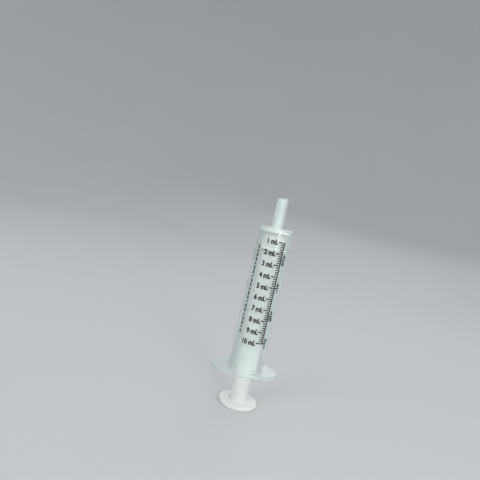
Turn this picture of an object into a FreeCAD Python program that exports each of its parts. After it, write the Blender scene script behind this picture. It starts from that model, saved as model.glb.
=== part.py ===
"""Oral syringe, 10 mL: barrel with printed scale, hollow plunger rod and piston seal.

Frame: the origin is the middle of the thumb disc's underside, +Z runs along the axis to the tip,
the finger flange is longest along X, and the printed scale faces -Y. Sizes are in millimetres.
At rest the plunger is pushed all the way in.
"""
import FreeCAD
import Part
import Sketcher
import os

SIZES = [
    # barrel
    ("bore_diameter", 15.05, "inside of the barrel"),
    ("barrel_length", 72.9, "shoulder down to the flange's upper face"),
    ("wall_at_shoulder", 1.05, "barrel wall at the tip end"),
    ("wall_at_flange", 1.25, "barrel wall at the flange, thicker by the mould's draft"),
    ("end_wall", 0.8, "thickness of the closed end round the tip"),
    ("shoulder_radius", 0.7, "rounding of the barrel's shoulder"),
    ("mouth_lead", 0.5, "lead-in chamfer inside the barrel's open mouth"),
    # tip
    ("tip_length", 14.8, "shoulder to tip end"),
    ("tip_diameter", 5.5, "outside of the tip"),
    ("tip_end_diameter", 5.1, "outside of the tip at its very end"),
    ("tip_taper_length", 2.6, "length of the lead-in taper at the tip end"),
    ("tip_bore_diameter", 2.7, "channel through the tip"),
    ("tip_root_radius", 0.5, "fillet where the tip meets the shoulder"),
    ("tip_rim_radius", 0.25, "rounding of the tip's outer rim"),
    # finger flange
    ("flange_length", 34.0, "finger flange along X"),
    ("flange_width", 20.9, "finger flange along Y"),
    ("flange_thickness", 2.08, "finger flange along Z"),
    ("flange_edge_radius", 0.5, "rounding of the flange's rim"),
    ("flange_root_radius", 0.7, "fillet between flange and barrel"),
    # retaining bead inside the mouth
    ("bead_offset", 3.0, "barrel mouth to the crest of the retaining bead"),
    ("bead_height", 0.3, "how far the bead stands into the bore"),
    ("bead_ramp", 0.7, "length of the bead's slope on each side of its crest"),
    # plunger rod
    ("disc_diameter", 19.85, "thumb disc"),
    ("disc_thickness", 1.75, "thumb disc"),
    ("disc_edge_radius", 0.55, "rounding of the thumb disc's rim"),
    ("dish_diameter", 14.6, "shallow dish under the thumb disc"),
    ("dish_depth", 0.5, "depth of that dish"),
    ("thumb_gap", 15.1, "thumb disc to the barrel's mouth, plunger fully in"),
    ("neck_diameter", 8.5, "narrow part of the rod above the disc"),
    ("neck_wall", 1.25, "wall of the neck"),
    ("neck_root_radius", 1.0, "fillet between neck and thumb disc"),
    ("shank_diameter", 11.5, "wide part of the rod inside the barrel"),
    ("shank_wall", 1.3, "wall of the shank"),
    ("shank_inset", 0.5, "how far the shank's lower end sits inside the mouth"),
    ("shank_step", 0.9, "length of the slope from neck to shank"),
    ("shank_top_radius", 0.9, "rounding of the shank's upper rim"),
    ("web_length", 1.2, "full wall above the neck before the hollow widens"),
    # piston seal
    ("front_gap", 0.15, "seal to the barrel's closed end, plunger fully in"),
    ("seal_length", 11.3, "seal's front to its back shoulder"),
    ("waist_diameter", 8.4, "narrow front of the seal, which carries the front lip"),
    ("waist_height", 3.0, "seal's front down to its wide body"),
    ("body_chamfer", 1.3, "front edge of the seal's wide body"),
    ("front_lip_offset", 0.3, "seal's front to the front lip"),
    ("lip_clearance", 0.05, "sealing lip to the bore, radial running clearance"),
    ("lip_rim", 0.55, "width of a lip where it rubs"),
    ("lip_root", 1.7, "width of a lip where it leaves the seal's body"),
    ("back_lip_offset", 0.6, "back shoulder to the back lip"),
    ("seal_back_chamfer", 0.5, "edge of the back shoulder"),
    ("seat_gap", 0.12, "seal's back shoulder to the rod's upper rim"),
    # snap joint between seal and rod
    ("plug_length", 6.0, "seal's plug inside the hollow rod"),
    ("plug_clearance", 0.06, "plug to the rod's hollow, radial running clearance"),
    ("snap_offset", 2.4, "seal's back shoulder to the snap ridge's crest"),
    ("snap_height", 0.35, "how far the snap ridge stands out of the plug"),
    ("snap_ramp", 0.6, "length of the ridge's slope on each side"),
    # printed scale
    ("ink_thickness", 0.04, "raised film of ink"),
    ("line_width", 0.5, "width of every printed line"),
    ("spine_angle", 33.0, "degrees from the front (-Y) towards +X to the scale's long line"),
    ("major_end_angle", 10.2, "degrees from the front to the free end of each 1 mL line"),
    ("minor_end_angle", 20.8, "degrees from the front to the free end of each 0.2 mL line"),
    ("spoon_end_angle", 51.0, "degrees from the front to the free end of each teaspoon line"),
]

CAPACITY_ML = 10
MINOR_STEPS_PER_ML = 5
TEASPOON_MARKS_ML = (2.5, 5.0, 7.5, 10.0)
FRONT_ANGLE = -90.0

# Heights above the thumb disc's underside, each worked out from the sheet.
HEIGHTS = [
    ("mouth", "Sizes.disc_thickness + Sizes.thumb_gap"),
    ("flange_top", "Heights.mouth + Sizes.flange_thickness"),
    ("shoulder", "Heights.flange_top + Sizes.barrel_length"),
    ("tip_end", "Heights.shoulder + Sizes.tip_length"),
    ("chamber_end", "Heights.shoulder - Sizes.end_wall"),
    ("bead", "Heights.mouth + Sizes.bead_offset"),
    ("shank_bottom", "Heights.mouth + Sizes.shank_inset"),
    ("hollow_step", "Heights.shank_bottom + Sizes.shank_step + Sizes.web_length"),
    ("seal_front", "Heights.chamber_end - Sizes.front_gap"),
    ("body_top", "Heights.seal_front - Sizes.waist_height"),
    ("seal_back", "Heights.seal_front - Sizes.seal_length"),
    ("front_lip", "Heights.seal_front - Sizes.front_lip_offset - Sizes.lip_root / 2"),
    ("back_lip", "Heights.seal_back + Sizes.back_lip_offset + Sizes.lip_root / 2"),
    ("shank_top", "Heights.seal_back - Sizes.seat_gap"),
    ("snap", "Heights.seal_back - Sizes.snap_offset"),
    ("plug_end", "Heights.seal_back - Sizes.plug_length"),
    ("print_low", "Heights.flange_top + Sizes.flange_root_radius"),
    ("print_high", "Heights.shoulder - Sizes.shoulder_radius"),
]

# Radii, each worked out from the sheet. The draft is the outside's change of radius per millimetre of height.
RADII = [
    ("bore", "Sizes.bore_diameter / 2"),
    ("barrel_at_shoulder", "Radii.bore + Sizes.wall_at_shoulder"),
    ("barrel_at_flange", "Radii.bore + Sizes.wall_at_flange"),
    ("tip", "Sizes.tip_diameter / 2"),
    ("tip_end", "Sizes.tip_end_diameter / 2"),
    ("tip_bore", "Sizes.tip_bore_diameter / 2"),
    ("disc", "Sizes.disc_diameter / 2"),
    ("dish", "Sizes.dish_diameter / 2"),
    ("neck", "Sizes.neck_diameter / 2"),
    ("neck_hollow", "Radii.neck - Sizes.neck_wall"),
    ("shank", "Sizes.shank_diameter / 2"),
    ("shank_hollow", "Radii.shank - Sizes.shank_wall"),
    ("waist", "Sizes.waist_diameter / 2"),
    ("lip", "Radii.bore - Sizes.lip_clearance"),
    ("plug", "Radii.shank_hollow - Sizes.plug_clearance"),
    ("draft", "(Sizes.wall_at_flange - Sizes.wall_at_shoulder) / Sizes.barrel_length"),
    ("print_low", "Radii.barrel_at_flange - Radii.draft * Sizes.flange_root_radius"),
    ("print_high", "Radii.barrel_at_shoulder + Radii.draft * Sizes.shoulder_radius"),
]

doc = FreeCAD.newDocument("oral_syringe")


def write_sizes():
    """Put the driving dimensions in the sheet, one row each."""
    sheet = doc.addObject("Spreadsheet::Sheet", "Sizes")
    for row, (alias, value, note) in enumerate(SIZES, start=1):
        sheet.set(f"A{row}", alias)
        sheet.set(f"B{row}", str(value))
        sheet.setAlias(f"B{row}", alias)
        sheet.set(f"C{row}", note)
    doc.recompute()
    return sheet


def write_derived(name, rules):
    """A variable set whose values follow the sheet."""
    variables = doc.addObject("App::VarSet", name)
    for alias, _ in rules:
        variables.addProperty("App::PropertyFloat", alias, name)
    for alias, rule in rules:
        variables.setExpression(alias, rule)
    doc.recompute()
    return variables


def add_body(name):
    body = doc.addObject("PartDesign::Body", name)
    body.Label = name
    return body


def attach_to_origin_plane(sketch, body, role):
    plane = next(item for item in body.Origin.OriginFeatures if item.Role == role)
    sketch.AttachmentSupport = (plane, [""])
    sketch.MapMode = "FlatFace"


def pin_point(sketch, line, point, radius_rule, height_rule):
    """Fix one end of a profile line at its radius and height."""
    if radius_rule == "0":
        sketch.addConstraint(Sketcher.Constraint("PointOnObject", line, point, -2))
    else:
        radius = Sketcher.Constraint("DistanceX", -1, 1, line, point, sketch.evalExpression(radius_rule))
        sketch.setExpression(f"Constraints[{sketch.addConstraint(radius)}]", radius_rule)
    if height_rule == "0":
        sketch.addConstraint(Sketcher.Constraint("PointOnObject", line, point, -1))
    else:
        height = Sketcher.Constraint("DistanceY", -1, 1, line, point, sketch.evalExpression(height_rule))
        sketch.setExpression(f"Constraints[{sketch.addConstraint(height)}]", height_rule)


def revolve_profile(body, name, corners):
    """Turn a closed outline of (radius, height) rules about the body's Z axis."""
    sketch = body.newObject("Sketcher::SketchObject", name + "_outline")
    attach_to_origin_plane(sketch, body, "XZ_Plane")
    points = []
    for radius_rule, height_rule in corners:
        radius = sketch.evalExpression(radius_rule)
        height = sketch.evalExpression(height_rule)
        points.append(FreeCAD.Vector(radius, height, 0))
    count = len(points)
    for index in range(count):
        sketch.addGeometry(Part.LineSegment(points[index], points[(index + 1) % count]))
    for index in range(count):
        sketch.addConstraint(Sketcher.Constraint("Coincident", index, 2, (index + 1) % count, 1))
    for index, (radius_rule, height_rule) in enumerate(corners):
        pin_point(sketch, index, 1, radius_rule, height_rule)
    turned = body.newObject("PartDesign::Revolution", name)
    turned.Profile = sketch
    turned.ReferenceAxis = (sketch, ["V_Axis"])
    turned.Angle = 360.0
    doc.recompute()
    return turned


def ring_edges(shape, radius, height, tolerance=1e-4):
    """Names of the circular edges of one radius at one height about the Z axis."""
    found = []
    for number, edge in enumerate(shape.Edges, start=1):
        curve = edge.Curve
        if not isinstance(curve, Part.Circle):
            continue
        on_axis = abs(curve.Center.x) < tolerance and abs(curve.Center.y) < tolerance
        if on_axis and abs(curve.Radius - radius) < tolerance and abs(curve.Center.z - height) < tolerance:
            found.append(f"Edge{number}")
    return found


def rim_edges(shape, heights, tolerance=1e-4):
    """Names of the flange's elliptical edges at the given heights."""
    found = []
    for number, edge in enumerate(shape.Edges, start=1):
        curve = edge.Curve
        if isinstance(curve, Part.Ellipse) and min(abs(curve.Center.z - z) for z in heights) < tolerance:
            found.append(f"Edge{number}")
    return found


def fillet(body, name, edges, radius_rule):
    """Round the named edges of the body's last feature."""
    if not edges:
        raise RuntimeError(f"{name}: no edge found to round")
    base = body.Tip
    rounded = body.newObject("PartDesign::Fillet", name)
    rounded.Base = (base, edges)
    rounded.setExpression("Radius", radius_rule)
    doc.recompute()
    return rounded


def make_barrel():
    """Open at the mouth, closed at the shoulder round the tip, with a retaining bead in the mouth."""
    body = add_body("barrel")
    revolve_profile(body, "barrel_wall", [
        ("Radii.bore + Sizes.mouth_lead", "Heights.mouth"),
        ("Radii.barrel_at_flange", "Heights.mouth"),
        ("Radii.barrel_at_flange", "Heights.flange_top"),
        ("Radii.barrel_at_shoulder", "Heights.shoulder"),
        ("Radii.tip", "Heights.shoulder"),
        ("Radii.tip", "Heights.tip_end - Sizes.tip_taper_length"),
        ("Radii.tip_end", "Heights.tip_end"),
        ("Radii.tip_bore", "Heights.tip_end"),
        ("Radii.tip_bore", "Heights.chamber_end"),
        ("Radii.bore", "Heights.chamber_end"),
        ("Radii.bore", "Heights.bead + Sizes.bead_ramp"),
        ("Radii.bore - Sizes.bead_height", "Heights.bead"),
        ("Radii.bore", "Heights.bead - Sizes.bead_ramp"),
        ("Radii.bore", "Heights.mouth + Sizes.mouth_lead"),
    ])
    outline = body.newObject("Sketcher::SketchObject", "flange_outline")
    attach_to_origin_plane(outline, body, "XY_Plane")
    outline.setExpression("AttachmentOffset.Base.z", "Heights.mouth")
    half_length = FreeCAD.Vector(sizes.flange_length / 2, 0, 0)
    half_width = FreeCAD.Vector(0, sizes.flange_width / 2, 0)
    outline.addGeometry(Part.Ellipse(half_length, half_width, FreeCAD.Vector(0, 0, 0)))
    outline.exposeInternalGeometry(0)
    outline.addConstraint(Sketcher.Constraint("Coincident", 0, 3, -1, 1))
    outline.addConstraint(Sketcher.Constraint("Horizontal", 1))
    for axis_line, rule in ((1, "Sizes.flange_length"), (2, "Sizes.flange_width")):
        size = Sketcher.Constraint("Distance", axis_line, outline.evalExpression(rule))
        outline.setExpression(f"Constraints[{outline.addConstraint(size)}]", rule)
    hole_rule = "(Radii.bore + Sizes.mouth_lead + Radii.barrel_at_flange) / 2"
    hole_radius = outline.evalExpression(hole_rule)
    hole = outline.addGeometry(Part.Circle(FreeCAD.Vector(0, 0, 0), FreeCAD.Vector(0, 0, 1), hole_radius))
    outline.addConstraint(Sketcher.Constraint("Coincident", hole, 3, -1, 1))
    hole_size = outline.addConstraint(Sketcher.Constraint("Radius", hole, hole_radius))
    outline.setExpression(f"Constraints[{hole_size}]", hole_rule)
    flange = body.newObject("PartDesign::Pad", "finger_flange")
    flange.Profile = outline
    flange.setExpression("Length", "Sizes.flange_thickness")
    doc.recompute()
    flange_heights = (heights.mouth, heights.flange_top)
    fillet(body, "flange_rim_round", rim_edges(body.Tip.Shape, flange_heights), "Sizes.flange_edge_radius")
    for name, radius, height, rule in (
            ("flange_root_fillet", radii.barrel_at_flange, heights.flange_top, "Sizes.flange_root_radius"),
            ("shoulder_round", radii.barrel_at_shoulder, heights.shoulder, "Sizes.shoulder_radius"),
            ("tip_root_fillet", radii.tip, heights.shoulder, "Sizes.tip_root_radius"),
            ("tip_rim_round", radii.tip_end, heights.tip_end, "Sizes.tip_rim_radius")):
        fillet(body, name, ring_edges(body.Tip.Shape, radius, height), rule)
    return body


def make_plunger_rod():
    """One hollow moulding: thumb disc, narrow neck and wide shank, open at the top for the seal."""
    body = add_body("plunger_rod")
    revolve_profile(body, "rod_wall", [
        ("0", "Sizes.dish_depth"),
        ("Radii.dish", "Sizes.dish_depth"),
        ("Radii.dish + Sizes.dish_depth", "0"),
        ("Radii.disc", "0"),
        ("Radii.disc", "Sizes.disc_thickness"),
        ("Radii.neck", "Sizes.disc_thickness"),
        ("Radii.neck", "Heights.shank_bottom"),
        ("Radii.shank", "Heights.shank_bottom + Sizes.shank_step"),
        ("Radii.shank", "Heights.shank_top"),
        ("Radii.shank_hollow", "Heights.shank_top"),
        ("Radii.shank_hollow", "Heights.snap + Sizes.snap_ramp + Sizes.plug_clearance"),
        ("Radii.shank_hollow + Sizes.snap_height", "Heights.snap + Sizes.plug_clearance"),
        ("Radii.shank_hollow + Sizes.snap_height", "Heights.snap - Sizes.plug_clearance"),
        ("Radii.shank_hollow", "Heights.snap - Sizes.snap_ramp - Sizes.plug_clearance"),
        ("Radii.shank_hollow", "Heights.hollow_step + Radii.shank_hollow - Radii.neck_hollow"),
        ("Radii.neck_hollow", "Heights.hollow_step"),
        ("Radii.neck_hollow", "Sizes.disc_thickness"),
        ("0", "Sizes.disc_thickness"),
    ])
    for name, radius, height, rule in (
            ("disc_lower_round", radii.disc, 0.0, "Sizes.disc_edge_radius"),
            ("disc_upper_round", radii.disc, sizes.disc_thickness, "Sizes.disc_edge_radius"),
            ("neck_root_fillet", radii.neck, sizes.disc_thickness, "Sizes.neck_root_radius"),
            ("shank_top_round", radii.shank, heights.shank_top, "Sizes.shank_top_radius")):
        fillet(body, name, ring_edges(body.Tip.Shape, radius, height), rule)
    return body


def lip_corners(root, height):
    """The four corners of one sealing lip on a root radius, from its upper root to its lower root."""
    return [
        (root, f"{height} + Sizes.lip_root / 2"),
        ("Radii.lip", f"{height} + Sizes.lip_rim / 2"),
        ("Radii.lip", f"{height} - Sizes.lip_rim / 2"),
        (root, f"{height} - Sizes.lip_root / 2"),
    ]


def make_piston_seal():
    """Two sealing lips, a groove between them and a plug that snaps into the hollow rod and can turn there."""
    body = add_body("piston_seal")
    corners = [
        ("0", "Heights.seal_front"),
        ("Radii.waist", "Heights.seal_front"),
    ]
    corners += lip_corners("Radii.waist", "Heights.front_lip")
    corners += [
        ("Radii.waist", "Heights.body_top"),
        ("Radii.shank - Sizes.body_chamfer", "Heights.body_top"),
        ("Radii.shank", "Heights.body_top - Sizes.body_chamfer"),
    ]
    corners += lip_corners("Radii.shank", "Heights.back_lip")
    corners += [
        ("Radii.shank", "Heights.seal_back + Sizes.seal_back_chamfer"),
        ("Radii.shank - Sizes.seal_back_chamfer", "Heights.seal_back"),
        ("Radii.plug", "Heights.seal_back"),
        ("Radii.plug", "Heights.snap + Sizes.snap_ramp"),
        ("Radii.plug + Sizes.snap_height", "Heights.snap"),
        ("Radii.plug", "Heights.snap - Sizes.snap_ramp"),
        ("Radii.plug", "Heights.plug_end"),
        ("0", "Heights.plug_end"),
    ]
    revolve_profile(body, "seal_wall", corners)
    return body


def ink_sector(name, left_rule, right_rule, low_rule, height_rule):
    """A sector of a disc about the axis, between two angles from the front, at one height."""
    sector = doc.addObject("Part::Cylinder", name)
    sector.setExpression("Radius", "Radii.barrel_at_flange + 1")
    sector.setExpression("Angle", f"{right_rule} - ({left_rule})")
    sector.setExpression("Height", height_rule)
    sector.setExpression("Placement.Base.z", low_rule)
    sector.setExpression("Placement.Rotation.Angle", f"{FRONT_ANGLE} + {left_rule}")
    return sector


def make_printed_scale():
    """A film of ink on the drafted barrel: a long line with a mark every 0.2 mL and teaspoon marks.

    The film covers the straight stretch of the barrel, so a mark that would fall past it isn't printed.
    """
    skins = []
    for name, thickness in (("ink_inside", "0"), ("ink_outside", "Sizes.ink_thickness")):
        cone = doc.addObject("Part::Cone", name)
        cone.setExpression("Radius1", f"Radii.print_low + {thickness}")
        cone.setExpression("Radius2", f"Radii.print_high + {thickness}")
        cone.setExpression("Height", "Heights.print_high - Heights.print_low")
        cone.setExpression("Placement.Base.z", "Heights.print_low")
        skins.append(cone)
    film = doc.addObject("Part::Cut", "ink_film")
    film.Base = skins[1]
    film.Tool = skins[0]

    millilitre = "4000 / (pi * Sizes.bore_diameter^2)"
    half_line = "Sizes.line_width / 2 / Radii.bore * 180 / pi"
    spine_left = f"Sizes.spine_angle - {half_line}"
    spine_right = f"Sizes.spine_angle + {half_line}"
    marks = []
    for step in range(MINOR_STEPS_PER_ML, CAPACITY_ML * MINOR_STEPS_PER_ML + 1):
        volume = step / MINOR_STEPS_PER_ML
        end = "Sizes.minor_end_angle" if step % MINOR_STEPS_PER_ML else "Sizes.major_end_angle"
        low = f"Heights.chamber_end - {volume} * {millilitre} - Sizes.line_width / 2"
        marks.append(ink_sector(f"mark_{step}", end, "Sizes.spine_angle", low, "Sizes.line_width"))
    for number, volume in enumerate(TEASPOON_MARKS_ML, start=1):
        low = f"Heights.chamber_end - {volume} * {millilitre} - Sizes.line_width / 2"
        end = "Sizes.spoon_end_angle"
        marks.append(ink_sector(f"spoon_{number}", "Sizes.spine_angle", end, low, "Sizes.line_width"))
    spine_low = f"Heights.chamber_end - {CAPACITY_ML} * {millilitre} - Sizes.line_width / 2"
    spine_height = f"{CAPACITY_ML - 1} * {millilitre} + Sizes.line_width"
    marks.append(ink_sector("spine", spine_left, spine_right, spine_low, spine_height))
    comb = doc.addObject("Part::MultiFuse", "scale_comb")
    comb.Shapes = marks
    scale = doc.addObject("Part::Common", "printed_scale")
    scale.Label = "printed_scale"
    scale.Base = film
    scale.Tool = comb
    doc.recompute()
    return scale


def check_and_export(pieces):
    """Stop on any failed object or bad shape, then write one STEP file for each piece."""
    for item in doc.Objects:
        if "Invalid" in item.State or "Error" in item.State:
            raise RuntimeError(f"{item.Name} did not recompute: {item.State}")
    os.makedirs("parts", exist_ok=True)
    for piece in pieces:
        shape = piece.Shape
        if shape.isNull() or not shape.isValid() or shape.Volume <= 0:
            raise RuntimeError(f"{piece.Label} has no valid solid")
        shape.exportStep(f"parts/{piece.Label}.step")
        print(f"{piece.Label}: {len(shape.Solids)} solid(s), {shape.Volume:.2f} mm3, {shape.BoundBox}")


sizes = write_sizes()
radii = write_derived("Radii", RADII)
heights = write_derived("Heights", HEIGHTS)
check_and_export([make_barrel(), make_plunger_rod(), make_piston_seal(), make_printed_scale()])
bead_top = heights.bead + sizes.bead_ramp
print(f"plunger travel: {heights.back_lip - sizes.lip_rim / 2 - bead_top:.2f} mm")
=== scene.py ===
"""Oral syringe: the finished look of every piece, modelled in the frame of its engineering model.

Lengths are in metres. The axis of the syringe is the Z axis, the thumb disc stands on z = 0,
the finger flange is longest along X and the printed scale faces -Y.
"""
import math

import bmesh
import bpy
from bpy.props import FloatProperty, FloatVectorProperty, IntProperty, PointerProperty
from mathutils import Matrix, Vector


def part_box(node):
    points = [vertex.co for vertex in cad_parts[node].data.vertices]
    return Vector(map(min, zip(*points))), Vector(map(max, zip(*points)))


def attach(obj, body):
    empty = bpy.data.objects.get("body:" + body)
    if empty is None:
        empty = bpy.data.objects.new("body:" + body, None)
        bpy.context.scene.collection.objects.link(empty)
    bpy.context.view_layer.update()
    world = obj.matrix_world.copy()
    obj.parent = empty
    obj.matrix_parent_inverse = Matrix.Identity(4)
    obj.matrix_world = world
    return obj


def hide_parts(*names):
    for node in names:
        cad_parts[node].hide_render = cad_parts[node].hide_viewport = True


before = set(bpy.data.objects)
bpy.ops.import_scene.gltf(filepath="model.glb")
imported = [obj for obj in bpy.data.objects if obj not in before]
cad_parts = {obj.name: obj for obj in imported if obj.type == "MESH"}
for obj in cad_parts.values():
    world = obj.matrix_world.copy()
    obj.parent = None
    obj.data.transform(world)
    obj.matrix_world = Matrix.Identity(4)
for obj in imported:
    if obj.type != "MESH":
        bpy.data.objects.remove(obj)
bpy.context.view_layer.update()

bl_info = {
    "name": "Oral syringe",
    "version": (1, 0, 0),
    "blender": (4, 5, 0),
    "location": "View3D > Sidebar > Syringe",
    "description": "Builds an oral syringe piece by piece and sets it on a studio floor",
    "category": "Add Mesh",
}

MM = 0.001
FULL_TURN = 2 * math.pi
MERGE_DISTANCE = 0.000001
BEVEL_STEPS = 6
SMOOTH_BELOW = math.radians(40)
UPRIGHT = (math.pi / 2, 0, 0)
BARREL_LOW, BARREL_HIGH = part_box("barrel")
ROD_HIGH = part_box("plunger_rod")[1]
SEAL_LOW, SEAL_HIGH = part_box("piston_seal")

# Roundings of the small moulded edges, from the crispest to the fullest.
HAIR, CRISP, KEEN, EDGE = 0.05 * MM, 0.1 * MM, 0.12 * MM, 0.15 * MM
SOFT, CORNER, EASED, BLEND, FULL = 0.2 * MM, 0.25 * MM, 0.3 * MM, 0.4 * MM, 0.5 * MM

# The print: what the lines stand for, and the row of dashes on the far side of the numerals.
CUBIC_CENTIMETRE = 0.01 ** 3
CAPACITY_ML = 10
TEASPOON_LABELS = ((2.5, "½"), (5, "1"), (7.5, "1½"), (10, "2"))
CAP_HEIGHT = 0.729          # height of a numeral over the size of its lettering
DASH_START_ML = 1.7
DASH_COUNT = 21
SHORT_DASH = 0.6            # length of every third dash over the length of the others


# ---------------------------------------------------------------- sizes and colours

def length(name, description, millimetres):
    """A length property with its default in millimetres."""
    return FloatProperty(name=name, description=description, default=millimetres * MM,
                         min=0.0, precision=5, unit="LENGTH", subtype="DISTANCE")


def angle(name, description, degrees):
    """An angle property with its default in degrees."""
    return FloatProperty(name=name, description=description, default=math.radians(degrees),
                         unit="ROTATION", subtype="ANGLE")


def colour(name, description, value):
    """A colour property."""
    return FloatVectorProperty(name=name, description=description, default=value, size=4,
                               min=0.0, max=1.0, subtype="COLOR")


class BarrelSizes(bpy.types.PropertyGroup):
    """Sizes of the barrel, its tip and its finger flange"""
    bore: length("Bore", "Inside diameter of the barrel", 15.05)
    wall_at_shoulder: length("Wall at shoulder", "Thickness of the wall at the tip end", 1.05)
    wall_at_flange: length("Wall at flange", "Thickness of the wall at the flange", 1.25)
    end_wall: length("End wall", "Thickness of the closed end round the tip", 0.8)
    shoulder_round: length("Shoulder round", "Rounding of the shoulder", 0.7)
    mouth_lead: length("Mouth lead-in", "Chamfer inside the open mouth", 0.5)
    bead_offset: length("Bead offset", "Open mouth to the crest of the retaining bead", 3.0)
    bead_height: length("Bead height", "How far the bead stands into the bore", 0.3)
    bead_ramp: length("Bead ramp", "Length of the bead's slope", 0.7)
    tip_length: length("Tip length", "Shoulder to tip end", 14.8)
    tip_width: length("Tip", "Outside diameter of the tip", 5.5)
    tip_end_width: length("Tip end", "Outside diameter at the tip's end", 5.1)
    tip_taper: length("Tip taper", "Length of the lead-in taper", 2.6)
    tip_bore: length("Tip bore", "Channel through the tip", 2.7)
    tip_root: length("Tip root", "Fillet between tip and shoulder", 0.5)
    tip_rim: length("Tip rim", "Rounding of the tip's rim", 0.25)
    flange_thickness: length("Flange thickness", "Thickness of the finger flange", 2.08)
    flange_round: length("Flange round", "Rounding of the flange's rim", 0.5)
    flange_root: length("Flange root", "Fillet between flange and barrel", 0.7)


class RodSizes(bpy.types.PropertyGroup):
    """Sizes of the plunger rod"""
    disc_thickness: length("Disc thickness", "Thickness of the thumb disc", 1.75)
    disc_round: length("Disc round", "Rounding of the thumb disc's rim", 0.55)
    dish: length("Dish", "Diameter of the shallow dish under the disc", 14.6)
    dish_depth: length("Dish depth", "Depth of that dish", 0.5)
    neck: length("Neck", "Diameter of the narrow part above the disc", 8.5)
    neck_wall: length("Neck wall", "Wall of the neck", 1.25)
    neck_root: length("Neck root", "Fillet between neck and disc", 1.0)
    shank: length("Shank", "Diameter of the wide part inside the barrel", 11.5)
    shank_wall: length("Shank wall", "Wall of the shank", 1.3)
    shank_inset: length("Shank inset", "Open mouth to the shank's lower end", 0.5)
    shank_step: length("Shank step", "Slope from neck to shank", 0.9)
    shank_top_round: length("Shank rim round", "Rounding of the shank's upper rim", 0.9)
    web: length("Web", "Full wall above the neck before the hollow widens", 1.2)
    snap_depth: length("Snap groove", "Depth of the groove that holds the seal's ridge", 0.35)


class SealSizes(bpy.types.PropertyGroup):
    """Sizes of the piston seal"""
    waist: length("Waist", "Diameter of the narrow front that carries the front lip", 8.4)
    waist_height: length("Waist height", "Front down to the wide body", 3.0)
    body_chamfer: length("Body chamfer", "Front edge of the wide body", 1.3)
    front_lip_offset: length("Front lip offset", "Front to the front lip", 0.3)
    body_length: length("Length", "Front to back shoulder", 11.3)
    body_width: length("Body", "Diameter between the lips", 11.5)
    lip_rim: length("Lip rim", "Width of a lip where it rubs", 0.55)
    lip_root: length("Lip root", "Width of a lip at its root", 1.7)
    back_lip_offset: length("Back lip offset", "Back shoulder to the back lip", 0.6)
    back_chamfer: length("Back chamfer", "Edge of the back shoulder", 0.5)
    plug: length("Plug", "Diameter of the plug inside the rod", 8.78)
    snap_offset: length("Snap offset", "Back shoulder to the snap ridge", 2.4)
    snap_height: length("Snap height", "How far the ridge stands out", 0.35)
    snap_ramp: length("Snap ramp", "Slope of the ridge", 0.6)


class PrintSizes(bpy.types.PropertyGroup):
    """Sizes of the printed numerals, units and dashes"""
    film: length("Ink film", "Thickness of the ink", 0.04)
    digit_height: length("Numerals", "Height of the millilitre numerals", 2.5)
    digit_weight: length("Weight", "How much the strokes are thickened", 0.31)
    label_right: angle("Label end", "Right end of each millilitre label, from the front", 9.5)
    spoon_height: length("Teaspoon numerals", "Height of the teaspoon numerals", 1.85)
    spoon_weight: length("Teaspoon weight", "How much those strokes are thickened", 0.341)
    spoon_gap: length("Teaspoon gap", "Teaspoon line down to its numeral", 0.5)
    spoon_centre: angle("Teaspoon centre", "Middle of the teaspoon labels, from the front", 45.0)
    unit_height: length("Teaspoon unit", "Height of the upright letters of the unit", 1.4)
    unit_gap: length("Unit gap", "Teaspoon line up to its unit", 0.7)
    unit_shift: angle("Unit shift", "Teaspoon centre to the foot of the unit's letters", 3.0)
    dash_place: angle("Dashes", "Row of dashes, from the front", -53.0)
    dash_width: length("Dash width", "Width of each dash", 0.85)
    dash_length: length("Dash length", "Length of a long dash", 1.65)
    dash_step: length("Dash step", "One dash to the next", 2.15)


class Colours(bpy.types.PropertyGroup):
    """Colours of the plastics, the ink and the floor"""
    barrel: colour("Barrel", "Natural polypropylene", (0.9, 0.955, 0.945, 1.0))
    rod: colour("Plunger rod", "White polyethylene", (0.86, 0.875, 0.865, 1.0))
    seal: colour("Piston seal", "White sealing compound", (0.85, 0.855, 0.83, 1.0))
    ink: colour("Ink", "Black printing ink", (0.004, 0.0045, 0.006, 1.0))
    floor: colour("Floor", "Pale studio floor", (0.62, 0.635, 0.635, 1.0))


class StageSizes(bpy.types.PropertyGroup):
    """Camera, floor and the fineness of the turned pieces"""
    lens: FloatProperty(name="Lens", description="Focal length", default=30.15, unit="CAMERA")
    camera_place: FloatVectorProperty(
        name="Camera", description="Place of the camera", size=3,
        default=(-0.01996, -0.20094, 0.09505), subtype="TRANSLATION")
    camera_turn: FloatVectorProperty(
        name="Camera turn", description="Rotation of the camera", size=3,
        default=tuple(math.radians(a) for a in (86.18, -12.53, -0.1)), subtype="EULER")
    floor_radius: length("Floor", "Radius of the flat floor", 2500.0)
    backdrop_height: length("Backdrop", "Height of the wall round the floor", 3000.0)
    turn_steps: IntProperty(name="Turn steps", description="Faces round every turned piece",
                            default=160, min=24)


# ---------------------------------------------------------------- modelling helpers

def deselect_objects():
    """Leave nothing selected, so that the next operator acts on new work only."""
    for item in bpy.context.selected_objects:
        item.select_set(False)


def edit_mesh():
    """The mesh being edited, as bmesh."""
    return bmesh.from_edit_mesh(bpy.context.edit_object.data)


def select_where(kind, test):
    """Select the vertices, edges or faces of the edited mesh that pass a test, and nothing else."""
    bpy.ops.mesh.select_mode(type={"verts": "VERT", "edges": "EDGE", "faces": "FACE"}[kind])
    bpy.ops.mesh.select_all(action="DESELECT")
    mesh = edit_mesh()
    for item in getattr(mesh, kind):
        if test(item):
            item.select = True
    mesh.select_flush_mode()
    bmesh.update_edit_mesh(bpy.context.edit_object.data)


def near(place):
    """A test for a vertex at one place."""
    return lambda vertex: (vertex.co - place).length < MERGE_DISTANCE


def radius_of(point):
    """Distance from the syringe's axis."""
    return math.hypot(point.x, point.y)


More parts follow.
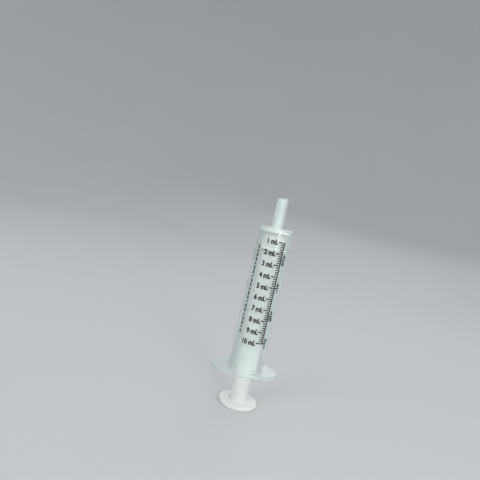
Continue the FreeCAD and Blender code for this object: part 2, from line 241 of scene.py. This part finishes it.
def turned_piece(name, corners, closed=False):
    """A piece turned on the Z axis from an outline of (radius, height, rounding) corners.

    The outline is drawn point by point, its corners are rounded, and it is spun a full turn.
    """
    deselect_objects()
    bpy.ops.mesh.primitive_plane_add(size=MM, location=(0, 0, 0))
    piece = bpy.context.active_object
    piece.name = name
    piece.data.name = name
    bpy.ops.object.mode_set(mode="EDIT")
    bpy.ops.mesh.select_mode(type="VERT")
    bpy.ops.mesh.select_all(action="SELECT")
    bpy.ops.mesh.merge(type="CENTER")
    places = [Vector((radius, 0, height)) for radius, height, _ in corners]
    bpy.ops.transform.translate(value=places[0])
    for previous, place in zip(places, places[1:]):
        bpy.ops.mesh.extrude_region_move(TRANSFORM_OT_translate={"value": place - previous})
    if closed:
        select_where("verts", lambda vertex: near(places[0])(vertex) or near(places[-1])(vertex))
        bpy.ops.mesh.edge_face_add()
    for place, (_, _, rounding) in zip(places, corners):
        if rounding:
            select_where("verts", near(place))
            bpy.ops.mesh.bevel(offset=rounding, segments=BEVEL_STEPS, affect="VERTICES")
    bpy.ops.mesh.select_all(action="SELECT")
    steps = bpy.context.scene.syringe_stage.turn_steps
    bpy.ops.mesh.spin(steps=steps, angle=FULL_TURN, center=(0, 0, 0), axis=(0, 0, 1),
                      use_auto_merge=True)
    bpy.ops.mesh.select_all(action="SELECT")
    bpy.ops.mesh.remove_doubles(threshold=MERGE_DISTANCE)
    bpy.ops.mesh.normals_make_consistent(inside=False)
    bpy.ops.object.mode_set(mode="OBJECT")
    return piece


def finish_shading(piece):
    """Smooth shading that keeps flat faces flat."""
    deselect_objects()
    piece.select_set(True)
    bpy.context.view_layer.objects.active = piece
    bpy.ops.object.shade_smooth_by_angle(angle=SMOOTH_BELOW)
    bpy.ops.object.modifier_add(type="WEIGHTED_NORMAL")
    piece.modifiers[-1].keep_sharp = True
    bpy.ops.object.modifier_apply(modifier=piece.modifiers[-1].name)


def hand_over(piece, body, slot, material, *nodes):
    """Give a finished piece its material and its body, and hide the nodes it stands for."""
    piece.data.materials.clear()
    piece.data.materials.append(material)
    if nodes:
        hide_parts(*nodes)
    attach(piece, body)


# ---------------------------------------------------------------- materials

def new_material(name, base, roughness):
    """A material with its principled shader, and its node tree."""
    material = bpy.data.materials.new(name)
    material.use_nodes = True
    tree = material.node_tree
    shader = tree.nodes["Principled BSDF"]
    shader.inputs["Base Color"].default_value = base
    shader.inputs["Roughness"].default_value = roughness
    material.diffuse_color = base
    return material, tree, shader


def noise(tree, scale, detail, stretch=(1.0, 1.0, 1.0)):
    """A noise pattern in object space, stretched along an axis where the moulding flowed."""
    place = tree.nodes.new("ShaderNodeTexCoord")
    mapping = tree.nodes.new("ShaderNodeMapping")
    mapping.inputs["Scale"].default_value = stretch
    pattern = tree.nodes.new("ShaderNodeTexNoise")
    pattern.inputs["Scale"].default_value = scale
    pattern.inputs["Detail"].default_value = detail
    tree.links.new(place.outputs["Object"], mapping.inputs["Vector"])
    tree.links.new(mapping.outputs["Vector"], pattern.inputs["Vector"])
    return pattern


def vary(tree, pattern, socket, low, high):
    """Drive a socket by a pattern, between two values."""
    spread = tree.nodes.new("ShaderNodeMapRange")
    spread.inputs["From Min"].default_value = 0.3
    spread.inputs["From Max"].default_value = 0.7
    spread.inputs["To Min"].default_value = low
    spread.inputs["To Max"].default_value = high
    tree.links.new(pattern.outputs["Fac"], spread.inputs["Value"])
    tree.links.new(spread.outputs["Result"], socket)


def tint(tree, pattern, socket, first, second):
    """Drive a colour socket by a pattern, between two colours."""
    ramp = tree.nodes.new("ShaderNodeValToRGB")
    ramp.color_ramp.elements[0].position = 0.35
    ramp.color_ramp.elements[0].color = first
    ramp.color_ramp.elements[1].position = 0.65
    ramp.color_ramp.elements[1].color = second
    tree.links.new(pattern.outputs["Fac"], ramp.inputs["Fac"])
    tree.links.new(ramp.outputs["Color"], socket)


def add_bump(tree, pattern, shader, strength, distance):
    """Raise a pattern out of the surface."""
    bump = tree.nodes.new("ShaderNodeBump")
    bump.inputs["Strength"].default_value = strength
    bump.inputs["Distance"].default_value = distance
    tree.links.new(pattern.outputs["Fac"], bump.inputs["Height"])
    tree.links.new(bump.outputs["Normal"], shader.inputs["Normal"])


def darker(base, share):
    """A colour with each channel cut to a share."""
    return tuple(channel * share for channel in base[:3]) + (1.0,)


def let_lamps_through(tree, shader, passed):
    """Let lamps shine into a hollow clear piece, each surface passing on a share of their light."""
    path = tree.nodes.new("ShaderNodeLightPath")
    clear = tree.nodes.new("ShaderNodeBsdfTransparent")
    clear.inputs["Color"].default_value = passed
    blend = tree.nodes.new("ShaderNodeMixShader")
    tree.links.new(path.outputs["Is Shadow Ray"], blend.inputs["Fac"])
    tree.links.new(shader.outputs["BSDF"], blend.inputs[1])
    tree.links.new(clear.outputs["BSDF"], blend.inputs[2])
    tree.links.new(blend.outputs["Shader"], tree.nodes["Material Output"].inputs["Surface"])


def barrel_plastic(name, clearness):
    """Natural polypropylene: clear enough to see the plunger, with a haze and faint flow lines."""
    base = tuple(bpy.context.scene.syringe_colours.barrel)
    material, tree, shader = new_material(name, base, 0.2)
    shader.inputs["IOR"].default_value = 1.49
    shader.inputs["Transmission Weight"].default_value = clearness
    haze = noise(tree, scale=120.0, detail=2.0)
    flow = noise(tree, scale=320.0, detail=2.0, stretch=(1.0, 1.0, 0.08))
    tint(tree, haze, shader.inputs["Base Color"], base, darker(base, 0.97))
    vary(tree, haze, shader.inputs["Roughness"], low=0.05, high=0.11)
    add_bump(tree, flow, shader, strength=0.02, distance=0.01 * MM)
    let_lamps_through(tree, shader, passed=(0.94, 0.95, 0.95, 1.0))
    return material


def rod_plastic():
    """White polyethylene with a satin moulded skin."""
    base = tuple(bpy.context.scene.syringe_colours.rod)
    material, tree, shader = new_material("rod_polyethylene", base, 0.38)
    shader.inputs["Subsurface Weight"].default_value = 0.25
    shader.inputs["Subsurface Radius"].default_value = (0.9, 0.95, 1.0)
    shader.inputs["Subsurface Scale"].default_value = 1.2 * MM
    grain = noise(tree, scale=1400.0, detail=5.0)
    cloud = noise(tree, scale=120.0, detail=3.0)
    tint(tree, cloud, shader.inputs["Base Color"], darker(base, 0.975), base)
    vary(tree, cloud, shader.inputs["Roughness"], low=0.32, high=0.46)
    add_bump(tree, grain, shader, strength=0.12, distance=0.04 * MM)
    return material


def seal_plastic():
    """Soft white sealing compound, a little duller than the rod."""
    base = tuple(bpy.context.scene.syringe_colours.seal)
    material, tree, shader = new_material("seal_compound", base, 0.5)
    shader.inputs["Subsurface Weight"].default_value = 0.3
    shader.inputs["Subsurface Radius"].default_value = (1.0, 0.95, 0.9)
    shader.inputs["Subsurface Scale"].default_value = 1.0 * MM
    grain = noise(tree, scale=1100.0, detail=4.0)
    vary(tree, grain, shader.inputs["Roughness"], low=0.42, high=0.58)
    add_bump(tree, grain, shader, strength=0.15, distance=0.04 * MM)
    return material


def scale_ink():
    """Black printing ink: thin, slightly uneven, with a faint gloss."""
    base = tuple(bpy.context.scene.syringe_colours.ink)
    material, tree, shader = new_material("scale_ink", base, 0.42)
    shader.inputs["Specular IOR Level"].default_value = 0.25
    patch = noise(tree, scale=2200.0, detail=3.0)
    tint(tree, patch, shader.inputs["Base Color"], base, (0.012, 0.012, 0.014, 1.0))
    vary(tree, patch, shader.inputs["Roughness"], low=0.45, high=0.65)
    return material


def floor_paint():
    """Matt pale paint of the studio floor."""
    base = tuple(bpy.context.scene.syringe_colours.floor)
    material, tree, shader = new_material("studio_floor", base, 0.7)
    cloud = noise(tree, scale=3.0, detail=2.0)
    tint(tree, cloud, shader.inputs["Base Color"], darker(base, 0.985), base)
    return material


def shared_material(name, maker):
    """A material that more than one piece wears, made once."""
    return bpy.data.materials.get(name) or maker()


# ---------------------------------------------------------------- operators

class SYRINGE_OT_barrel(bpy.types.Operator):
    """Turn the barrel with its tip and stretch its flange to an oval"""
    bl_idname = "syringe.barrel"
    bl_label = "Barrel"

    def execute(self, context):
        size = context.scene.syringe_barrel
        bore = size.bore / 2
        mouth, tip_end = BARREL_LOW.z, BARREL_HIGH.z
        flange_top = mouth + size.flange_thickness
        shoulder = tip_end - size.tip_length
        chamber_end = shoulder - size.end_wall
        at_flange = bore + size.wall_at_flange
        at_shoulder = bore + size.wall_at_shoulder
        flange_half_length, flange_half_width = BARREL_HIGH.x, BARREL_HIGH.y
        tip, tip_bore = size.tip_width / 2, size.tip_bore / 2
        bead = mouth + size.bead_offset
        corners = [
            (bore + size.mouth_lead, mouth, 0),
            (flange_half_width, mouth, 0),
            (flange_half_width, flange_top, 0),
            (at_flange, flange_top, size.flange_root),
            (at_shoulder, shoulder, size.shoulder_round),
            (tip, shoulder, size.tip_root),
            (tip, tip_end - size.tip_taper, BLEND),
            (size.tip_end_width / 2, tip_end, size.tip_rim),
            (tip_bore, tip_end, EDGE),
            (tip_bore, chamber_end, 0),
            (bore, chamber_end, CORNER),
            (bore, bead + size.bead_ramp, EDGE),
            (bore - size.bead_height, bead, CORNER),
            (bore, bead - size.bead_ramp, EDGE),
            (bore, mouth + size.mouth_lead, CRISP),
        ]
        piece = turned_piece("barrel_moulding", corners, closed=True)
        bpy.ops.object.mode_set(mode="EDIT")
        select_where("verts", lambda v: radius_of(v.co) > flange_half_width - MERGE_DISTANCE)
        oval = flange_half_length / flange_half_width
        bpy.ops.transform.resize(value=(oval, 1, 1), center_override=(0, 0, 0))
        select_where("edges", lambda e: on_rim(e, flange_half_width, flange_top, mouth))
        bpy.ops.mesh.bevel(offset=size.flange_round, segments=BEVEL_STEPS, affect="EDGES")
        bpy.ops.object.mode_set(mode="OBJECT")
        finish_shading(piece)
        clear = barrel_plastic("barrel_polypropylene", clearness=0.78)
        hand_over(piece, "barrel", "barrel_plastic", clear, "barrel")
        self.whiten_thick_plastic(piece, chamber_end)
        return {"FINISHED"}

    @staticmethod
    def whiten_thick_plastic(piece, chamber_end):
        """The plastic looks whiter where it is thick: in the end wall, the tip and the rim."""
        piece.data.materials.append(barrel_plastic("thick_polypropylene", clearness=0.64))
        band = 1.0 * MM
        bpy.ops.object.mode_set(mode="EDIT")
        select_where("faces", lambda face: face.calc_center_median().z > chamber_end - band)
        piece.active_material_index = 1
        bpy.ops.object.material_slot_assign()
        select_where("faces", on_flange_rim)
        bpy.ops.object.material_slot_assign()
        bpy.ops.object.mode_set(mode="OBJECT")


def on_flange_rim(face):
    """True for a face of the flange that looks outwards."""
    rim_depth, least_facing = 0.6 * MM, 0.3
    place = face.calc_center_median()
    outwards = Vector((place.x, place.y, 0)).normalized()
    return (radius_of(place) > BARREL_HIGH.y - rim_depth
            and face.normal.dot(outwards) > least_facing)


def on_rim(edge, half_width, *heights):
    """True for an edge of the flange's rim that runs round it at one of the heights."""
    first, second = (vertex.co for vertex in edge.verts)
    level = any(max(abs(first.z - z), abs(second.z - z)) < MERGE_DISTANCE for z in heights)
    return level and min(radius_of(first), radius_of(second)) > half_width - MERGE_DISTANCE


class SYRINGE_OT_plunger_rod(bpy.types.Operator):
    """Turn the hollow plunger rod with its thumb disc"""
    bl_idname = "syringe.plunger_rod"
    bl_label = "Plunger rod"

    def execute(self, context):
        size = context.scene.syringe_rod
        disc, top = ROD_HIGH.x, ROD_HIGH.z
        neck, shank, dish = size.neck / 2, size.shank / 2, size.dish / 2
        neck_hollow = neck - size.neck_wall
        shank_hollow = shank - size.shank_wall
        shank_bottom = BARREL_LOW.z + size.shank_inset
        hollow_step = shank_bottom + size.shank_step + size.web
        disc_top = size.disc_thickness
        seal = context.scene.syringe_seal
        snap = SEAL_HIGH.z - seal.body_length - seal.snap_offset
        corners = [
            (0, size.dish_depth, 0),
            (dish, size.dish_depth, FULL),
            (dish + size.dish_depth, 0, EASED),
            (disc, 0, size.disc_round),
            (disc, disc_top, size.disc_round),
            (neck, disc_top, size.neck_root),
            (neck, shank_bottom, BLEND),
            (shank, shank_bottom + size.shank_step, EASED),
            (shank, top, size.shank_top_round),
            (shank_hollow, top, EDGE),
            (shank_hollow, snap + seal.snap_ramp, 0),
            (shank_hollow + size.snap_depth, snap, CRISP),
            (shank_hollow, snap - seal.snap_ramp, 0),
            (shank_hollow, hollow_step + shank_hollow - neck_hollow, FULL),
            (neck_hollow, hollow_step, FULL),
            (neck_hollow, disc_top, BLEND),
            (0, disc_top, 0),
        ]
        piece = turned_piece("plunger_rod_moulding", corners)
        finish_shading(piece)
        hand_over(piece, "plunger", "rod_plastic", rod_plastic(), "plunger_rod")
        return {"FINISHED"}


def lip(size, height, body, rim):
    """Corners of one sealing lip from its upper root to its lower root."""
    return [
        (body, height + size.lip_root / 2, SOFT),
        (rim, height + size.lip_rim / 2, KEEN),
        (rim, height - size.lip_rim / 2, KEEN),
        (body, height - size.lip_root / 2, SOFT),
    ]


class SYRINGE_OT_piston_seal(bpy.types.Operator):
    """Turn the piston seal with its lips, its groove and its snap plug"""
    bl_idname = "syringe.piston_seal"
    bl_label = "Piston seal"

    def execute(self, context):
        size = context.scene.syringe_seal
        front, plug_end, rim = SEAL_HIGH.z, SEAL_LOW.z, SEAL_HIGH.x
        waist, body, plug = size.waist / 2, size.body_width / 2, size.plug / 2
        body_top = front - size.waist_height
        back = front - size.body_length
        snap = back - size.snap_offset
        corners = [(0, front, 0), (waist, front, CRISP)]
        corners += lip(size, front - size.front_lip_offset - size.lip_root / 2, waist, rim)
        corners += [
            (waist, body_top, HAIR),
            (body - size.body_chamfer, body_top, CRISP),
            (body, body_top - size.body_chamfer, FULL),
        ]
        corners += lip(size, back + size.back_lip_offset + size.lip_root / 2, body, rim)
        corners += [
            (body, back + size.back_chamfer, SOFT),
            (body - size.back_chamfer, back, SOFT),
            (plug, back, SOFT),
            (plug, snap + size.snap_ramp, 0),
            (plug + size.snap_height, snap, EDGE),
            (plug, snap - size.snap_ramp, 0),
            (plug, plug_end, BLEND),
            (0, plug_end, 0),
        ]
        piece = turned_piece("piston_seal_moulding", corners)
        finish_shading(piece)
        hand_over(piece, "seal", "seal_plastic", seal_plastic(), "piston_seal")
        return {"FINISHED"}


def flat_text(text, height, weight, squeeze=0.82, align="LEFT"):
    """Upright lettering facing -Y, as a mesh that stands on the origin."""
    deselect_objects()
    bpy.ops.object.text_add(location=(0, 0, 0), rotation=UPRIGHT)
    label = bpy.context.active_object
    label.data.body = text
    label.data.size = height / CAP_HEIGHT
    label.data.offset = weight / 2
    label.data.align_x = align
    label.data.resolution_u = 4
    label.scale.x = squeeze
    bpy.ops.object.convert(target="MESH")
    bpy.ops.object.transform_apply(location=False, rotation=True, scale=True)
    return bpy.context.active_object


class SYRINGE_OT_numerals(bpy.types.Operator):
    """Print the numerals, the units and a row of plain dashes on the barrel"""
    bl_idname = "syringe.numerals"
    bl_label = "Numerals"

    def execute(self, context):
        size = context.scene.syringe_print
        barrel = context.scene.syringe_barrel
        bore = barrel.bore / 2
        radius = bore + (barrel.wall_at_shoulder + barrel.wall_at_flange) / 2
        zero = BARREL_HIGH.z - barrel.tip_length - barrel.end_wall
        millilitre = CUBIC_CENTIMETRE / (math.pi * bore ** 2)

        def level(volume):
            """Height of the line for a volume in millilitres."""
            return zero - volume * millilitre

        labels = [*self.millilitre_labels(size, level), *self.teaspoon_labels(size, level),
                  *self.dashes(size, level)]
        deselect_objects()
        for label, turn, height in labels:
            label.location = (turn * radius, 0, height)
            label.select_set(True)
        context.view_layer.objects.active = labels[0][0]
        bpy.ops.object.join()
        piece = context.active_object
        piece.name = "scale_numerals"
        piece.data.name = piece.name
        bpy.ops.object.transform_apply(location=True, rotation=True, scale=True)
        self.cut_to_strips()
        self.wrap(piece, radius, size.film)
        ink = shared_material("scale_ink", scale_ink)
        hand_over(piece, "barrel", "ink", ink)
        return {"FINISHED"}

    @staticmethod
    def millilitre_labels(size, level):
        """A numeral and its unit beside each millilitre line, with their turn and height."""
        for volume in range(1, CAPACITY_ML + 1):
            label = flat_text(f"{volume} mL", size.digit_height, size.digit_weight, align="RIGHT")
            yield label, size.label_right, level(volume) - size.digit_height / 2

    @staticmethod
    def teaspoon_labels(size, level):
        """A numeral below each teaspoon line and its unit, turned upright, above the line."""
        for volume, name in TEASPOON_LABELS:
            label = flat_text(name, size.spoon_height, size.spoon_weight, align="CENTER")
            yield label, size.spoon_centre, level(volume) - size.spoon_gap - size.spoon_height
            unit = flat_text("tsp", size.unit_height, size.digit_weight, squeeze=0.85)
            unit.rotation_euler.y = -math.pi / 2
            yield unit, size.spoon_centre + size.unit_shift, level(volume) + size.unit_gap

    @staticmethod
    def dashes(size, level):
        """A row of plain dashes, every third one shorter."""
        for index in range(DASH_COUNT):
            deselect_objects()
            bpy.ops.mesh.primitive_plane_add(size=1, location=(0, 0, 0), rotation=UPRIGHT)
            dash = bpy.context.active_object
            share = SHORT_DASH if index % 3 == 1 else 1.0
            dash.scale = (size.dash_width, size.dash_length * share, 1)
            bpy.ops.object.transform_apply(location=False, rotation=True, scale=True)
            yield dash, size.dash_place, level(DASH_START_ML) - index * size.dash_step

    @staticmethod
    def cut_to_strips():
        """Cut the flat print into narrow upright strips, so that it can bend."""
        strip = 0.35 * MM
        bpy.ops.object.mode_set(mode="EDIT")
        places = [vertex.co.x for vertex in edit_mesh().verts]
        first, last = math.ceil(min(places) / strip), math.floor(max(places) / strip)
        for step in range(first, last + 1):
            bpy.ops.mesh.select_all(action="SELECT")
            bpy.ops.mesh.bisect(plane_co=(step * strip, 0, 0), plane_no=(1, 0, 0))
        bpy.ops.mesh.select_all(action="SELECT")
        bpy.ops.mesh.remove_doubles(threshold=MERGE_DISTANCE)
        bpy.ops.object.mode_set(mode="OBJECT")

    @staticmethod
    def wrap(piece, radius, film):
        """Bend the print round the barrel, lay it on and give it the ink's thickness."""
        places = [vertex.co.x for vertex in piece.data.vertices]
        bpy.ops.object.modifier_add(type="SIMPLE_DEFORM")
        bend = piece.modifiers[-1]
        bend.deform_method = "BEND"
        bend.deform_axis = "Z"
        bend.angle = (max(places) - min(places)) / radius
        bpy.ops.object.modifier_apply(modifier=bend.name)
        piece.location.y = -radius
        bpy.ops.object.transform_apply(location=True, rotation=False, scale=False)
        bpy.ops.object.modifier_add(type="SHRINKWRAP")
        lay = piece.modifiers[-1]
        lay.target = bpy.data.objects["barrel_moulding"]
        lay.wrap_method = "NEAREST_SURFACEPOINT"
        bpy.ops.object.modifier_apply(modifier=lay.name)
        bpy.ops.object.modifier_add(type="SOLIDIFY")
        thick = piece.modifiers[-1]
        thick.thickness = film
        thick.offset = 1.0
        bpy.ops.object.modifier_apply(modifier=thick.name)


class SYRINGE_OT_scale_marks(bpy.types.Operator):
    """Ink the scale's own lines, which keep their engineered shape"""
    bl_idname = "syringe.scale_marks"
    bl_label = "Scale marks"

    def execute(self, context):
        ink = shared_material("scale_ink", scale_ink)
        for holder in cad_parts["printed_scale"].material_slots:
            holder.material = ink
        return {"FINISHED"}


class SYRINGE_OT_stage(bpy.types.Operator):
    """Set the floor, the lights and the camera"""
    bl_idname = "syringe.stage"
    bl_label = "Stage"

    def execute(self, context):
        self.build_floor(context.scene.syringe_stage)
        self.add_lights()
        self.add_camera(context.scene.syringe_stage)
        return {"FINISHED"}

    @staticmethod
    def build_floor(size):
        """A round floor whose rim curves up into a wall all the way round."""
        curve_share = 0.6
        deselect_objects()
        bpy.ops.mesh.primitive_circle_add(vertices=96, radius=size.floor_radius, fill_type="NGON")
        floor = bpy.context.active_object
        floor.name = "studio_floor"
        bpy.ops.object.mode_set(mode="EDIT")
        bpy.ops.mesh.select_mode(type="EDGE")
        bpy.ops.mesh.select_all(action="SELECT")
        bpy.ops.mesh.region_to_loop()
        rise = (0, 0, size.backdrop_height)
        bpy.ops.mesh.extrude_region_move(TRANSFORM_OT_translate={"value": rise})
        select_where("edges", lambda e: all(abs(v.co.z) < MERGE_DISTANCE for v in e.verts))
        bpy.ops.mesh.bevel(offset=size.floor_radius * curve_share, segments=24, affect="EDGES")
        bpy.ops.mesh.select_all(action="SELECT")
        bpy.ops.mesh.normals_make_consistent(inside=True)
        bpy.ops.object.mode_set(mode="OBJECT")
        bpy.ops.object.shade_smooth()
        floor.data.materials.append(floor_paint())

    @staticmethod
    def add_lights():
        """Large soft panels, one of them upright for the band of light down the barrel."""
        target = Vector((0, 0, 0.055))
        panels = [
            ("key_panel", (-0.75, -0.80, 0.85), (0.60, 0.60), 3.8),
            ("fill_panel", (1.00, -0.65, 0.50), (0.90, 0.90), 1.4),
            ("top_panel", (0.10, 0.05, 1.40), (0.80, 0.80), 2.8),
            ("back_panel", (0.50, 1.10, 0.80), (1.00, 1.00), 2.0),
            ("strip_panel", (0.37, -0.84, 0.35), (0.30, 0.90), 3.2),
        ]
        for name, place, (width, height), power in panels:
            lamp = bpy.data.lights.new(name, "AREA")
            lamp.shape = "RECTANGLE"
            lamp.size = width
            lamp.size_y = height
            lamp.energy = power
            holder = bpy.data.objects.new(name, lamp)
            holder.location = place
            holder.rotation_euler = (target - Vector(place)).to_track_quat("-Z", "Y").to_euler()
            bpy.context.scene.collection.objects.link(holder)
        world = bpy.data.worlds.new("studio_air")
        bpy.context.scene.world = world
        world.use_nodes = True
        background = world.node_tree.nodes["Background"]
        background.inputs["Color"].default_value = (0.92, 0.95, 1.0, 1.0)
        background.inputs["Strength"].default_value = 0.75

    @staticmethod
    def add_camera(size):
        """The camera, and a plain display of its colours."""
        lens = bpy.data.cameras.new("camera")
        lens.lens = size.lens
        lens.clip_start = 0.005
        camera = bpy.data.objects.new("camera", lens)
        camera.location = size.camera_place
        camera.rotation_euler = size.camera_turn
        bpy.context.scene.collection.objects.link(camera)
        bpy.context.scene.camera = camera
        bpy.context.scene.view_settings.view_transform = "Standard"


class SYRINGE_PT_tools(bpy.types.Panel):
    """Lists the syringe's pieces and their sizes"""
    bl_idname = "SYRINGE_PT_tools"
    bl_label = "Oral syringe"
    bl_space_type = "VIEW_3D"
    bl_region_type = "UI"
    bl_category = "Syringe"

    def draw(self, context):
        for maker in OPERATORS:
            self.layout.operator(maker.bl_idname)
        for name in SETTINGS:
            box = self.layout.box()
            settings = getattr(context.scene, name)
            for field in settings.__annotations__:
                box.prop(settings, field)


SETTINGS = {
    "syringe_barrel": BarrelSizes,
    "syringe_rod": RodSizes,
    "syringe_seal": SealSizes,
    "syringe_print": PrintSizes,
    "syringe_colours": Colours,
    "syringe_stage": StageSizes,
}

OPERATORS = (
    SYRINGE_OT_barrel,
    SYRINGE_OT_plunger_rod,
    SYRINGE_OT_piston_seal,
    SYRINGE_OT_scale_marks,
    SYRINGE_OT_numerals,
    SYRINGE_OT_stage,
)


def register():
    """Add the syringe's classes and its settings."""
    for cls in (*SETTINGS.values(), *OPERATORS, SYRINGE_PT_tools):
        bpy.utils.register_class(cls)
    for name, group in SETTINGS.items():
        setattr(bpy.types.Scene, name, PointerProperty(type=group))


def unregister():
    """Take the settings and the classes away again."""
    for name in SETTINGS:
        delattr(bpy.types.Scene, name)
    for cls in (SYRINGE_PT_tools, *reversed(OPERATORS), *reversed(SETTINGS.values())):
        bpy.utils.unregister_class(cls)


def main():
    """Build every piece and the stage."""
    register()
    bpy.ops.syringe.barrel()
    bpy.ops.syringe.plunger_rod()
    bpy.ops.syringe.piston_seal()
    bpy.ops.syringe.scale_marks()
    bpy.ops.syringe.numerals()
    bpy.ops.syringe.stage()


if __name__ == "__main__":
    main()
